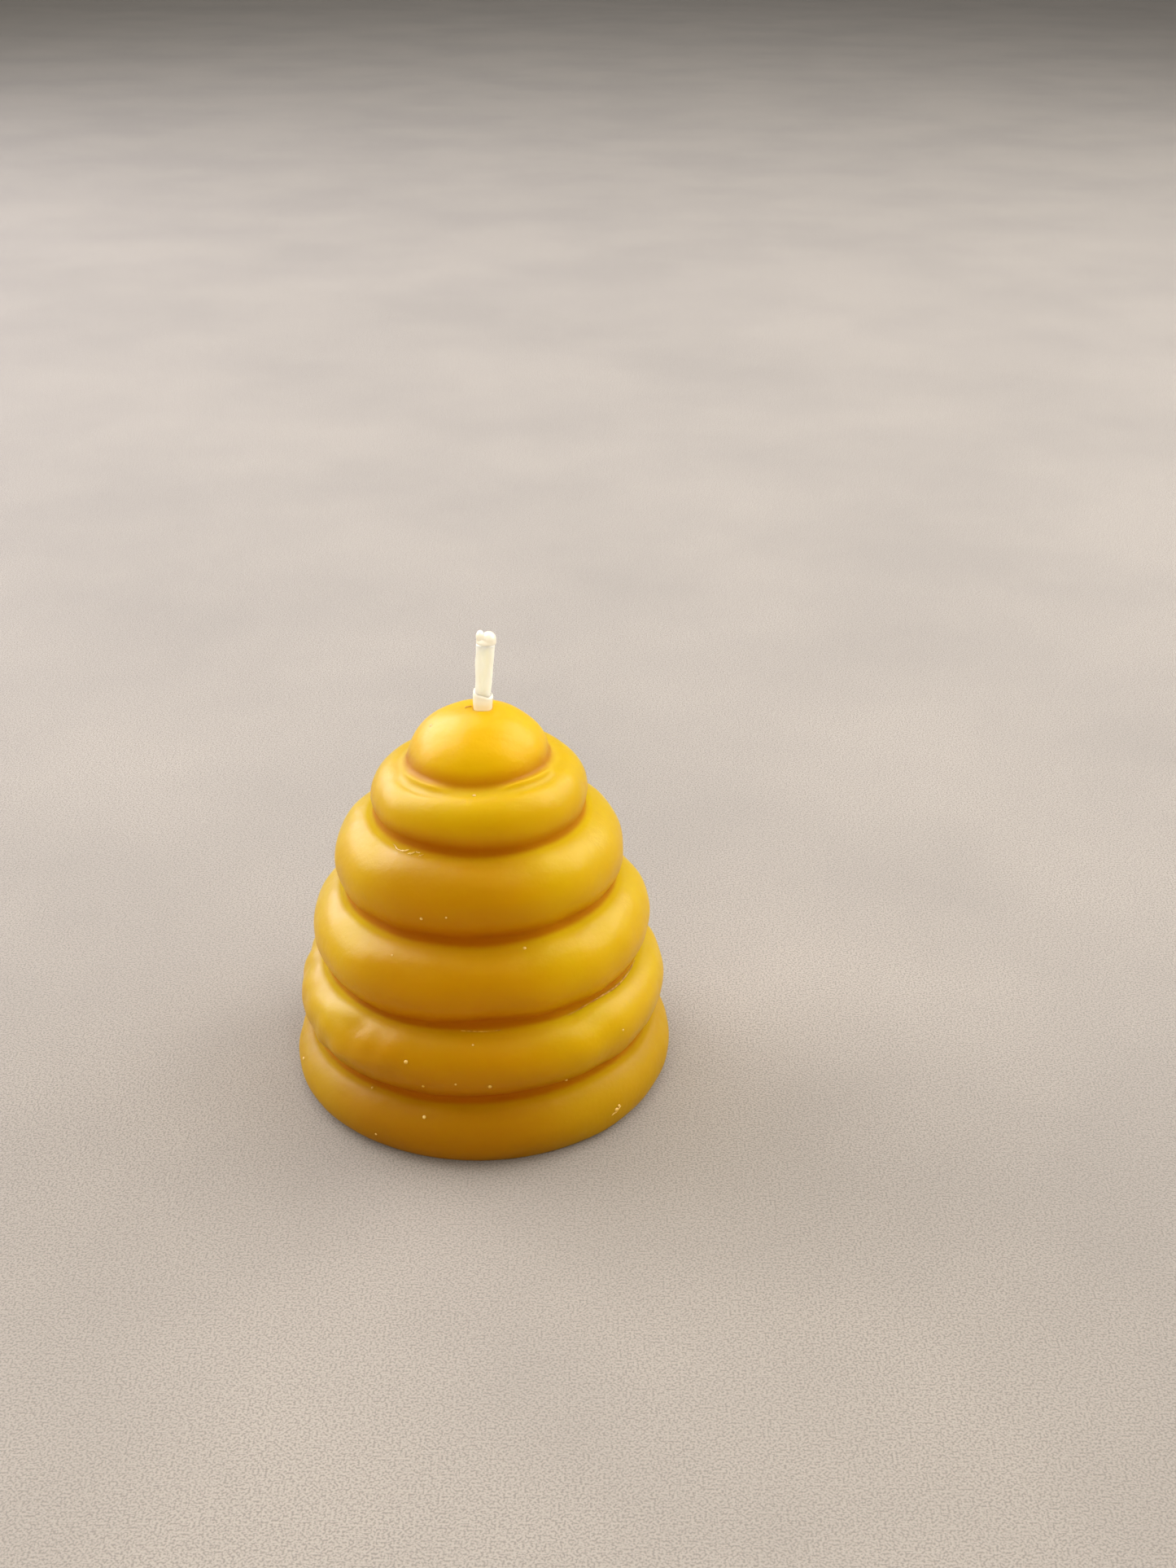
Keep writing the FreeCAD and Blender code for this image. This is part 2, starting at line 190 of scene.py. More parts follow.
def closed_ball(name: str, points: np.ndarray) -> bpy.types.Object:
    """A solid piece: a grid closed by a vertex at each of its two poles.

    Args:
        name: Name of the piece.
        points: Array (rows, columns, 3) in millimetres; the first row surrounds the lower pole.

    Returns:
        The new object.
    """
    return make_piece(name, *ball_mesh(points))


def set_attribute(piece: bpy.types.Object, name: str, values: np.ndarray) -> None:
    """Stores one number per vertex under a name that a finish can read."""
    layer = piece.data.attributes.new(name, "FLOAT", "POINT")
    layer.data.foreach_set("value", values.astype(np.float32).ravel())


# ---- finishes --------------------------------------------------------------------------------------


Colour = tuple[float, float, float]


class NodeSheet:
    """A material's node tree, with short ways to add its nodes."""

    def __init__(self, name: str) -> None:
        """Starts a material of that name with a Principled shader on its output."""
        self.material = bpy.data.materials.new(name)
        self.material.use_nodes = True
        self.tree = self.material.node_tree
        self.shader = self.tree.nodes["Principled BSDF"]
        self.place = self.tree.nodes.new("ShaderNodeTexCoord").outputs["Object"]

    def link(self, source: bpy.types.NodeSocket, target: bpy.types.NodeSocket) -> None:
        """Joins two sockets."""
        self.tree.links.new(source, target)

    def stretched(self, scale: Colour) -> bpy.types.NodeSocket:
        """Object coordinates times a scale for each axis."""
        mapping = self.tree.nodes.new("ShaderNodeMapping")
        mapping.inputs["Scale"].default_value = scale
        self.link(self.place, mapping.inputs["Vector"])
        return mapping.outputs["Vector"]

    def noise(self, scale: float, detail: float = 3.0,
              stretch: Colour | None = None) -> bpy.types.NodeSocket:
        """A noise pattern.

        Args:
            scale: Cells of the pattern to a metre.
            detail: How many finer layers it has.
            stretch: Scale of each axis before the pattern, if it is drawn out one way.

        Returns:
            The pattern's value, about 0.5 on average.
        """
        node = self.tree.nodes.new("ShaderNodeTexNoise")
        node.inputs["Scale"].default_value = scale
        node.inputs["Detail"].default_value = detail
        self.link(self.stretched(stretch) if stretch else self.place, node.inputs["Vector"])
        return node.outputs["Fac"]

    def height(self) -> bpy.types.NodeSocket:
        """Height over the floor in metres."""
        split = self.tree.nodes.new("ShaderNodeSeparateXYZ")
        self.link(self.place, split.inputs["Vector"])
        return split.outputs["Z"]

    def attribute(self, name: str) -> bpy.types.NodeSocket:
        """A number stored on the piece's vertices."""
        node = self.tree.nodes.new("ShaderNodeAttribute")
        node.attribute_name = name
        return node.outputs["Fac"]

    def ranged(self, value: bpy.types.NodeSocket, source: tuple[float, float],
               target: tuple[float, float]) -> bpy.types.NodeSocket:
        """A value carried from one range to another and held inside it."""
        node = self.tree.nodes.new("ShaderNodeMapRange")
        node.inputs["From Min"].default_value, node.inputs["From Max"].default_value = source
        node.inputs["To Min"].default_value, node.inputs["To Max"].default_value = target
        self.link(value, node.inputs["Value"])
        return node.outputs["Result"]

    def mix(self, share: bpy.types.NodeSocket, low: Colour | bpy.types.NodeSocket,
            high: Colour | bpy.types.NodeSocket) -> bpy.types.NodeSocket:
        """A colour between two others.

        Args:
            share: 0 gives the first colour and 1 the second.
            low: The first colour, as numbers or a socket.
            high: The second.

        Returns:
            The mixed colour.
        """
        node = self.tree.nodes.new("ShaderNodeMix")
        node.data_type = "RGBA"
        self.link(share, node.inputs["Factor"])
        for socket, colour in ((node.inputs[6], low), (node.inputs[7], high)):
            if isinstance(colour, bpy.types.NodeSocket):
                self.link(colour, socket)
            else:
                socket.default_value = (*colour, 1.0)
        return node.outputs[2]

    def tinted(self, colour: bpy.types.NodeSocket, share: bpy.types.NodeSocket,
               tint: Colour) -> bpy.types.NodeSocket:
        """A colour multiplied by a tint, as far as the share from 0 to 1."""
        node = self.tree.nodes.new("ShaderNodeMix")
        node.data_type, node.blend_type = "RGBA", "MULTIPLY"
        self.link(share, node.inputs["Factor"])
        self.link(colour, node.inputs[6])
        node.inputs[7].default_value = (*tint, 1.0)
        return node.outputs[2]

    def sum_of(self, first: bpy.types.NodeSocket, second: bpy.types.NodeSocket) -> bpy.types.NodeSocket:
        """Two values added up and held between 0 and 1."""
        node = self.tree.nodes.new("ShaderNodeMath")
        node.operation = "ADD"
        node.use_clamp = True
        self.link(first, node.inputs[0])
        self.link(second, node.inputs[1])
        return node.outputs["Value"]

    def bump(self, layers: Sequence[tuple[bpy.types.NodeSocket, float]]) -> None:
        """Raises the surface by patterns, each with the height in metres of its full range."""
        normal = None
        for pattern, height in layers:
            node = self.tree.nodes.new("ShaderNodeBump")
            node.inputs["Strength"].default_value = 1.0
            node.inputs["Distance"].default_value = height
            self.link(pattern, node.inputs["Height"])
            if normal is not None:
                self.link(normal, node.inputs["Normal"])
            normal = node.outputs["Normal"]
        self.link(normal, self.shader.inputs["Normal"])

    def set(self, **values: float | Colour) -> None:
        """Sets constant values on the shader's own sockets, underscores for the spaces in their names."""
        for name, value in values.items():
            self.shader.inputs[name.replace("_", " ")].default_value = value


@dataclass(frozen=True)
class BeeswaxFinish:
    """Cast beeswax, honey coloured, with painted light and shade: yellow painted light on top, red-brown
    painted shade below and in the creases.
    """

    # upper, side and under are one wax lit and shaded: upper is painted light on faces turned up, under is
    # painted shade on faces turned down.
    upper: Colour = (0.57, 0.375, 0.001)
    side: Colour = (0.59, 0.325, 0.0004)
    under: Colour = (0.60, 0.255, 0.0004)
    # crease: painted shade in the creases.
    crease: Colour = (0.40, 0.105, 0.0003)
    cloud: Colour = (0.57, 0.31, 0.001)
    # foot: painted shade, a darker wax mixed in near the floor.
    foot: Colour = (0.36, 0.182, 0.0005)
    # dome: painted light, a brighter yellow mixed in at the dome.
    dome: Colour = (0.77, 0.44, 0.001)
    # The front tint is painted shade, a darker tint on the front below the dome.
    front_shade_tint: Colour = (0.79, 0.60, 0.8)
    light_reach: Colour = (1.0, 0.80, 0.25)
    gloss_tint: Colour = (1.0, 0.97, 0.45)

    def make(self) -> bpy.types.Material:
        """Builds the material: painted light and shade by facing, crease and height, faint clouds, fine
        grain, a haze.

        The wax is darkened by painted shade near the foot and at the front, and brightened by painted light
        in the dome. The foot is scuffed and so less glossy.
        """
        sheet = NodeSheet("cast_beeswax")
        facing = sheet.attribute("facing")
        # Painted light and shade by facing: yellower on faces turned up, redder on faces turned down.
        wax = sheet.mix(sheet.ranged(facing, (0.5, 0.92), (0.0, 1.0)), self.side, self.upper)
        wax = sheet.mix(sheet.ranged(facing, (0.5, 0.1), (0.0, 1.0)), wax, self.under)
        clouds = sheet.ranged(sheet.noise(70.0, 3.0), (0.42, 0.72), (0.0, 0.35))
        wax = sheet.mix(clouds, wax, self.cloud)
        # Painted shade: darker towards the floor.
        wax = sheet.mix(sheet.ranged(sheet.height(), (0.020, 0.002), (0.0, 0.85)), wax, self.foot)
        # Painted light: brighter in the dome.
        wax = sheet.mix(sheet.ranged(sheet.height(), (0.049, 0.057), (0.0, 0.7)), wax, self.dome)
        # Painted shade in the creases, deepest at their bottoms.
        depth = sheet.attribute("crease")
        wax = sheet.mix(sheet.ranged(depth, (0.0, 1.0), (0.0, 0.75)), wax, self.crease)
        # Painted shade at the front.
        wax = sheet.tinted(wax, sheet.attribute("front"), self.front_shade_tint)
        sheet.link(wax, sheet.shader.inputs["Base Color"])
        polish = sheet.ranged(sheet.noise(320.0, 4.0), (0.3, 0.7), (0.35, 0.46))
        dull = sheet.ranged(sheet.attribute("hollow"), (0.02, 0.5), (0.0, 0.55))
        scuffed = sheet.ranged(sheet.height(), (0.014, 0.004), (0.0, 0.22))
        sheet.link(sheet.sum_of(sheet.sum_of(polish, dull), scuffed), sheet.shader.inputs["Roughness"])
        sheet.bump([(sheet.noise(260.0, 4.0), 0.00020), (sheet.noise(1100.0, 3.0), 0.00003)])
        sheet.set(Subsurface_Weight=0.8, Subsurface_Radius=self.light_reach, Subsurface_Scale=0.0018,
                  IOR=1.44, Specular_IOR_Level=0.22)
        sheet.set(Specular_Tint=(*self.gloss_tint, 1.0))
        return sheet.material


@dataclass(frozen=True)
class MarkFinish:
    """The thin raised wax of nibs, burrs and flash lines, in two close tones."""

    name: str
    pale: Colour
    deep: Colour
    roughness: float = 0.42

    def make(self) -> bpy.types.Material:
        """Builds the material: two tones in fine patches, satin."""
        sheet = NodeSheet(self.name)
        patches = sheet.noise(1500.0, 2.0)
        sheet.link(sheet.mix(sheet.ranged(patches, (0.35, 0.65), (0.0, 1.0)), self.pale, self.deep),
                   sheet.shader.inputs["Base Color"])
        sheet.link(sheet.ranged(patches, (0.3, 0.7), (self.roughness - 0.06, self.roughness + 0.08)),
                   sheet.shader.inputs["Roughness"])
        sheet.bump([(patches, 0.00002)])
        sheet.set(IOR=1.44)
        return sheet.material


THIN_WAX = MarkFinish("thin_wax", (0.80, 0.56, 0.16), (0.60, 0.32, 0.02))
# The flash lines' dark tones are painted shade, standing in for the dark line that each thin ridge shows.
FLASH_WAX = MarkFinish("flash_wax", (0.60, 0.32, 0.01), (0.34, 0.12, 0.002), 0.58)


@dataclass(frozen=True)
class WickWaxFinish:
    """Pale primer wax on the wick: creamy, warmer along the threads and near the cast wax."""

    name: str
    pale: Colour
    warm: Colour
    glow: float
    light_reach: float
    roughness: float = 0.42

    def make(self) -> bpy.types.Material:
        """Builds the material: pale wax with faint warm streaks along the threads."""
        sheet = NodeSheet(self.name)
        threads = sheet.ranged(sheet.noise(900.0, 3.0, (1.0, 1.0, 0.16)), (0.35, 0.7), (0.0, 0.45))
        wax = sheet.mix(threads, self.pale, self.warm)
        wax = sheet.mix(sheet.ranged(sheet.attribute("warmth"), (0.0, 1.0), (0.0, 0.9)), wax, self.warm)
        sheet.link(wax, sheet.shader.inputs["Base Color"])
        polish = sheet.ranged(sheet.noise(1500.0), (0.3, 0.7),
                              (self.roughness - 0.06, self.roughness + 0.08))
        sheet.link(polish, sheet.shader.inputs["Roughness"])
        sheet.bump([(sheet.noise(2200.0, 3.0, (1.0, 1.0, 0.35)), 0.00002)])
        sheet.set(Subsurface_Weight=self.glow, Subsurface_Radius=(1.0, 0.95, 0.85),
                  Subsurface_Scale=self.light_reach, IOR=1.44)
        return sheet.material


PRIMER_WAX = WickWaxFinish("primer_wax", (0.995, 0.93, 0.79), (0.99, 0.86, 0.64), 0.75, 0.0016)
COLLAR_WAX = WickWaxFinish("collar_wax", (0.99, 0.92, 0.74), (0.99, 0.82, 0.50), 0.25, 0.0006, 0.38)
BEAD_WAX = WickWaxFinish("bead_wax", (0.88, 0.81, 0.65), (0.88, 0.79, 0.58), 0.4, 0.0008, 0.38)


@dataclass(frozen=True)
class CottonFinish:
    """Waxed cotton yarn: cream, with fine fibres along it."""

    cream: Colour = (0.80, 0.74, 0.58)
    shade: Colour = (0.62, 0.54, 0.36)

    def make(self) -> bpy.types.Material:
        """Builds the material: fine drawn-out fibres in two tones, matt, with a little sheen."""
        sheet = NodeSheet("cotton_yarn")
        fibres = sheet.noise(5200.0, 4.0, (1.0, 1.0, 0.22))
        sheet.link(sheet.mix(sheet.ranged(fibres, (0.35, 0.65), (0.0, 1.0)), self.cream, self.shade),
                   sheet.shader.inputs["Base Color"])
        sheet.link(sheet.ranged(fibres, (0.3, 0.7), (0.7, 0.9)), sheet.shader.inputs["Roughness"])
        sheet.bump([(fibres, 0.00004)])
        sheet.set(Sheen_Weight=0.25, Sheen_Roughness=0.5)
        return sheet.material


@dataclass(frozen=True)
class FloorFinish:
    """The pale studio floor: matt warm grey with a faint nap."""

    light: Colour = (0.385, 0.336, 0.275)
    shade: Colour = (0.205, 0.179, 0.145)

    def make(self) -> bpy.types.Material:
        """Builds the material: two close tones in soft patches and a fine nap."""
        sheet = NodeSheet("studio_floor")
        patches = sheet.ranged(sheet.noise(14.0, 3.0), (0.35, 0.65), (0.0, 0.35))
        nap = sheet.ranged(sheet.noise(3300.0, 4.0), (0.46, 0.60), (0.0, 0.85))
        tone = sheet.mix(patches, self.light, self.shade)
        sheet.link(sheet.mix(nap, tone, self.shade), sheet.shader.inputs["Base Color"])
        sheet.bump([(sheet.noise(3300.0, 4.0), 0.00015)])
        sheet.set(Roughness=0.95, Sheen_Weight=0.2, Sheen_Roughness=0.6)
        return sheet.material


# ---- cast body -------------------------------------------------------------------------------------


@dataclass(frozen=True)
class Coil:
    """One round section of the casting, in millimetres."""

    outer: float
    level: float
    round: float

    @property
    def centre(self) -> tuple[float, float]:
        """Distance from the axis and height of the section's middle."""
        return self.outer - self.round, self.level


@dataclass(frozen=True)
class Arc:
    """A stretch of the half profile: a circle's arc between two directions, in millimetres."""

    centre: tuple[float, float]
    radius: float
    start: float
    end: float
    hollow: bool = False

    def points(self, spacing: float) -> np.ndarray:
        """Points along the arc, its end left out: centre + radius * (cos t, sin t), t from start to end."""
        count = max(3, math.ceil(abs(self.end - self.start) * self.radius / spacing))
        turn = np.linspace(self.start, self.end, count, endpoint=False)
        return np.stack([self.centre[0] + self.radius * np.cos(turn),
                         self.centre[1] + self.radius * np.sin(turn)], axis=-1)


def heading(origin: tuple[float, float], point: tuple[float, float]) -> float:
    """Direction in radians from one point of the profile to another."""
    return math.atan2(point[1] - origin[1], point[0] - origin[0])


@dataclass
class SkepBody:
    """The cast wax: five coils and a dome, with sloping hand-made creases.

    A point of the surface is a point (r, z) of the half profile turned by an angle a about the axis.
    It is then pushed out by uneven relief along the profile's normal: broad and lumpy unevenness all
    round, a pressed patch at -X on the second coil, and two crescent rolls in the neck. Last, the turn
    that it lies on slopes and sways: z grows by x times the tangent of the slope at that level, and by
    a low uneven sway. Relief and sway fade out at the foot and towards the axis.
    """

    coils: tuple[Coil, ...] = (
        Coil(28.5, 4.2, 5.4), Coil(27.5, 14.7, 5.26), Coil(24.9, 25.6, 6.24),
        Coil(21.06, 36.8, 6.6), Coil(15.75, 46.4, 4.55), Coil(10.3, 51.05, 7.0))
    dome_top: float = 59.35
    crease_rounds: tuple[float, ...] = (1.0, 1.0, 1.0, 1.1, 2.0)
    foot_edge_round: float = 0.5
    slope_levels: tuple[float, ...] = (0.0, 9.3, 20.6, 32.4, 44.0, 50.9, 59.35)
    slope_degrees: tuple[float, ...] = (0.0, 1.7, 1.3, 1.6, 0.3, 1.9, 1.1)
    channel_half_side: float = 1.165
    channel_place: float = 0.75
    channel_power: float = 4.2
    channel_blend: float = 4.4
    dish_depth: float = 0.25
    dish_radius: float = 21.0
    roll_radius: float = 11.0
    roll_width: float = 0.6
    roll_height: float = 0.55
    roll_middles: tuple[float, ...] = (-134.0, -47.0)
    roll_spread: float = 0.86
    roll_levels: tuple[float, float] = (48.8, 50.0)
    groove_share: float = 0.4
    groove_offset: float = 2.2
    pressed_side: tuple[float, float] = (-6.0, -15.0)
    pressed_foot: tuple[float, float] = (9.5, 12.5)
    pressed_top: tuple[float, float] = (22.0, 18.0)
    relief_levels: tuple[float, float] = (0.0, 1.5)
    relief_radii: tuple[float, float] = (2.5, 6.0)
    sway_levels: tuple[float, float] = (0.0, 5.0)
    sway_radii: tuple[float, float] = (2.5, 8.0)
    columns: int = 400
    front_crowding: float = 0.38
    coil_spacing: float = 0.5
    crease_spacing: float = 0.17
    # shade_reach is how far the painted crease shade reaches; crease_tints weigh it, and the dull
    # roughness, in each crease.
    shade_reach: float = 3.4
    hollow_reach: float = 1.9
    crease_tints: tuple[float, ...] = (1.0, 1.0, 1.0, 0.95, 1.0)
    neck_gloss: float = 0.8
    neck_levels: tuple[float, float] = (47.0, 48.5)
    # tint_facing keeps the painted crease shade off faces turned up.
    tint_facing: tuple[float, float] = (0.97, 0.35)
    # front_degrees, front_spread and front_levels place the painted front shade: its middle, width and
    # heights.
    front_degrees: float = -99.0
    front_spread: tuple[float, float] = (0.66, 1.0)
    front_levels: tuple[float, float] = (52.0, 42.0)
    broad_relief: Ripple = field(default_factory=lambda: Ripple(11, 26.0, 0.12))
    lumpy_relief: Ripple = field(default_factory=lambda: Ripple(5, 7.5, 0.06, 26))
    pressed_relief: Ripple = field(default_factory=lambda: Ripple(17, 4.5, 0.09, 20))
    sway: Ripple = field(default_factory=lambda: Ripple(31, 13.0, 0.07))

    def creases(self) -> list[Arc]:
        """The hollow rounds between neighbouring coils, each touching both from outside.

        The centre is where a circle about the lower coil and one about the upper coil, each larger by
        the crease's round, cross on the outer side.

        Returns:
            The arcs, lowest first, running from the lower coil to the upper one.
        """
        found = []
        for lower, upper, round_ in zip(self.coils, self.coils[1:], self.crease_rounds):
            start, end = np.array(lower.centre), np.array(upper.centre)
            span = float(np.linalg.norm(end - start))
            to_lower, to_upper = lower.round + round_, upper.round + round_
            along = (span ** 2 + to_lower ** 2 - to_upper ** 2) / (2 * span)
            aside = math.sqrt(to_lower ** 2 - along ** 2)
            forward = (end - start) / span
            centre = start + forward * along + np.array([forward[1], -forward[0]]) * aside
            place = (float(centre[0]), float(centre[1]))
            from_lower = heading(place, lower.centre) % math.tau
            from_upper = heading(place, upper.centre) % math.tau
            found.append(Arc(place, round_, from_lower, from_upper, hollow=True))
        return found

    def crown_radius(self) -> float:
        """Radius of the arc about the axis that caps the dome, touching its shoulder from inside."""
        dome = self.coils[-1]
        rise = self.dome_top - dome.level
        return (dome.centre[0] ** 2 + rise ** 2 - dome.round ** 2) / (2 * (rise - dome.round))

    def outline(self) -> list[Arc]:
        """The outside of the half profile from the foot's edge to the top of the dome.

        Returns:
            Arcs in order, each starting where the last one ends, with the same tangent.
        """
        creases = self.creases()
        foot, dome = self.coils[0], self.coils[-1]
        crown = self.crown_radius()
        edge = self.foot_edge_round
        reach = math.sqrt((foot.round - edge) ** 2 - (foot.level - edge) ** 2)
        edge_centre = (foot.centre[0] + reach, edge)
        starts = [heading(foot.centre, edge_centre)]
        starts += [heading(coil.centre, crease.centre) for coil, crease in zip(self.coils[1:], creases)]
        ends = [heading(coil.centre, crease.centre) for coil, crease in zip(self.coils, creases)]
        crown_centre = (0.0, self.dome_top - crown)
        ends.append(heading(crown_centre, dome.centre))
        arcs = [Arc(edge_centre, edge, -math.pi / 2, starts[0])]
        for index, coil in enumerate(self.coils):
            arcs.append(Arc(coil.centre, coil.round, starts[index], ends[index]))
            if index < len(creases):
                arcs.append(creases[index])
        last = math.acos(self.channel_half_side / crown)
        arcs.append(Arc(crown_centre, crown, ends[-1], last))
        return arcs

    def profile(self) -> np.ndarray:
        """The closed half profile: outside, down the wick's channel, then out across the base.

        Returns:
            Array (stations, 2) of (r, z) in millimetres.
        """
        outside = np.vstack([arc.points(self.crease_spacing if arc.hollow else self.coil_spacing)
                             for arc in self.outline()])
        side = self.channel_half_side
        dish = self.dish_depth
        channel = np.stack([np.full(8, side), np.linspace(outside[-1, 1] - 0.1, dish, 8)], axis=-1)
        reach = np.linspace(side, outside[0, 0], 34)[1:-1]
        across = np.stack([reach, dish * smoothstep(outside[0, 0] - 1.5, self.dish_radius, reach)], axis=-1)
        return np.vstack([outside, channel, across])

    def around(self) -> np.ndarray:
        """Angles of the columns, closer together at the front: a = u - k sin(u - front)."""
        even = np.linspace(0.0, math.tau, self.columns, endpoint=False)
        front = -math.pi / 2
        return even - self.front_crowding * np.sin(even - front)

    def surface(self, profile: np.ndarray, normal: np.ndarray, angle: np.ndarray) -> np.ndarray:
        """Carries profile points round the axis, gives them relief and slope, and moves the channel aside.

        Args:
            profile: Array (..., 2) of (r, z).
            normal: Array (..., 2), the profile's outward normal at those points.
            angle: Array that broadcasts with them, in radians.

        Returns:
            Array (..., 3) of points in millimetres.
        """
        r, z = profile[..., 0], profile[..., 1]
        near_axis = smoothstep(self.channel_blend, self.channel_half_side, r)
        reach = r * (1.0 - near_axis + near_axis * squircle(angle, self.channel_power))
        points = np.stack([reach * np.cos(angle) + self.channel_place * near_axis,
                           reach * np.sin(angle), z], axis=-1)
        relief = self.broad_relief.at(points) + self.lumpy_relief.at(points)
        pressed = smoothstep(*self.pressed_side, points[..., 0])
        pressed = pressed * smoothstep(*self.pressed_foot, z) * smoothstep(*self.pressed_top, z)
        relief = relief + self.pressed_relief.at(points) * pressed
        relief = relief + self.neck_rolls(r, z, angle)
        relief = relief * smoothstep(*self.relief_levels, z) * smoothstep(*self.relief_radii, r)
        out = np.stack([normal[..., 0] * np.cos(angle), normal[..., 0] * np.sin(angle),
                        np.broadcast_to(normal[..., 1], z.shape)], axis=-1)
        points = points + out * relief[..., None]
        slope = np.tan(np.radians(np.interp(z, self.slope_levels, self.slope_degrees)))
        sway = self.sway.at(points) * smoothstep(*self.sway_levels, z) * smoothstep(*self.sway_radii, r)
        points[..., 2] += points[..., 0] * slope + sway
        return points

    def neck_rolls(self, r: np.ndarray, z: np.ndarray, angle: np.ndarray) -> np.ndarray:
        """Two low crescents in the neck, left and right of the front, with a groove outside each.

        Across, each is height * (exp(-u^2) - share * exp(-(u - offset)^2)), u = (r - radius) / width,
        and it fades out along its arc.

        Args:
            r: Distances from the axis in millimetres.
            z: Heights in millimetres.
            angle: Angles about the axis in radians.

        Returns:
            Heights of the relief in millimetres.
        """
        offset = (r - self.roll_radius) / self.roll_width
        groove = self.groove_share * np.exp(-(offset - self.groove_offset) ** 2)
        across = (np.exp(-offset ** 2) - groove) * smoothstep(*self.roll_levels, z)
        along = sum(smoothstep(self.roll_spread, 1.0, np.cos(angle - math.radians(middle)))
                    for middle in self.roll_middles)
        return self.roll_height * across * along

    def spot(self, section: int, around: np.ndarray, up: np.ndarray) -> tuple[np.ndarray, np.ndarray]:
        """Points of the finished surface on a coil, and the directions out of it.

        Args:
            section: Number of the coil from the foot up, or one more for the crown of the dome.
            around: Angles about the axis in degrees, 0 at +X and -90 at the front.
            up: Angles on the coil's round section in degrees, 0 outward and 90 up.

        Returns:
            Arrays (..., 3) of the points in millimetres and of the unit directions.
        """
        crown = self.crown_radius()
        sections = (*self.coils, Coil(crown, self.dome_top - crown, crown))
        coil = sections[section]
        turn, tilt = np.radians(around), np.radians(up)
        normal = np.stack([np.cos(tilt), np.sin(tilt)], axis=-1)
        points = self.surface(np.array(coil.centre) + coil.round * normal, normal, turn)
        out = np.stack([normal[..., 0] * np.cos(turn), normal[..., 0] * np.sin(turn),
                        normal[..., 1]], axis=-1)
        return points, out

    def crease_depth(self, profile: np.ndarray, reach: float) -> np.ndarray:
        """How deep in a crease each station lies: 1 at its bottom, 0 at the reach or beyond.

        Args:
            profile: Array (stations, 2) of (r, z).
            reach: Distance from a crease's bottom at which it ends, in millimetres.

        Returns:
            Array (stations) from 0 to 1.
        """
        depth = np.zeros(len(profile))
        for crease, tint in zip(self.creases(), self.crease_tints):
            middle = (crease.start + crease.end) / 2
            lowest = np.array([math.cos(middle), math.sin(middle)])
            bottom = np.array(crease.centre) + crease.radius * lowest
            distance = np.linalg.norm(profile - bottom, axis=1)
            depth = np.maximum(depth, tint * smoothstep(reach, 0.2, distance))
        return depth

    def build(self) -> bpy.types.Object:
        """Builds the casting as one closed surface with the wick's channel through it.

        Returns:
            The piece. Its vertices hold how hollow the wax is there below the neck, how much painted crease
            shade darkens it, how far it faces up from 0 to 1, and how far it is in the painted front shade.
        """
        profile = self.profile()
        ahead = np.roll(profile, -1, axis=0) - np.roll(profile, 1, axis=0)
        normal = np.stack([ahead[:, 1], -ahead[:, 0]], axis=-1)
        normal /= np.linalg.norm(normal, axis=1, keepdims=True)
        angle = self.around()[None, :]
        stations = np.repeat(profile[:, None, :], self.columns, axis=1)
        points = self.surface(stations, normal[:, None, :], angle)
        piece = closed_ring("cast_wax", points)
        # shaded is the painted crease shade, kept to faces that do not turn up.
        shaded = self.crease_depth(profile, self.shade_reach)
        hollow = self.crease_depth(profile, self.hollow_reach)
        # front is where the painted front shade falls: at the front, below the dome.
        toward = np.cos(angle - math.radians(self.front_degrees))
        front = smoothstep(*self.front_spread, toward) * smoothstep(*self.front_levels, profile[:, 1:])
        dull = hollow * (1.0 - self.neck_gloss * smoothstep(*self.neck_levels, profile[:, 1]))
        shaded = shaded * smoothstep(*self.tint_facing, normal[:, 1])
        # facing chooses between the painted light on top and the painted shade below.
        facing = 0.5 + 0.5 * normal[:, 1]
        for name, values in (("hollow", dull), ("crease", shaded), ("facing", facing)):
            set_attribute(piece, name, np.repeat(values[:, None], self.columns, axis=1))
        set_attribute(piece, "front", front)
        piece.data.materials.append(BeeswaxFinish().make())
        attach(piece, BODY)
        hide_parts("skep_body")
        return piece


@dataclass(frozen=True)
class Nib:
    """A grain of wax that a bubble in the mould left: its coil, place in degrees, radius in mm."""

    coil: int
    around: float
    up: float
    radius: float


@dataclass(frozen=True)
class Ridge:
    """A thin raised line of wax: its coil, ends in degrees round and up it, half width and height in mm."""

    coil: int
    around: tuple[float, float]
    up: tuple[float, float]
    half_width: float
    height: float
    stations: int = 14


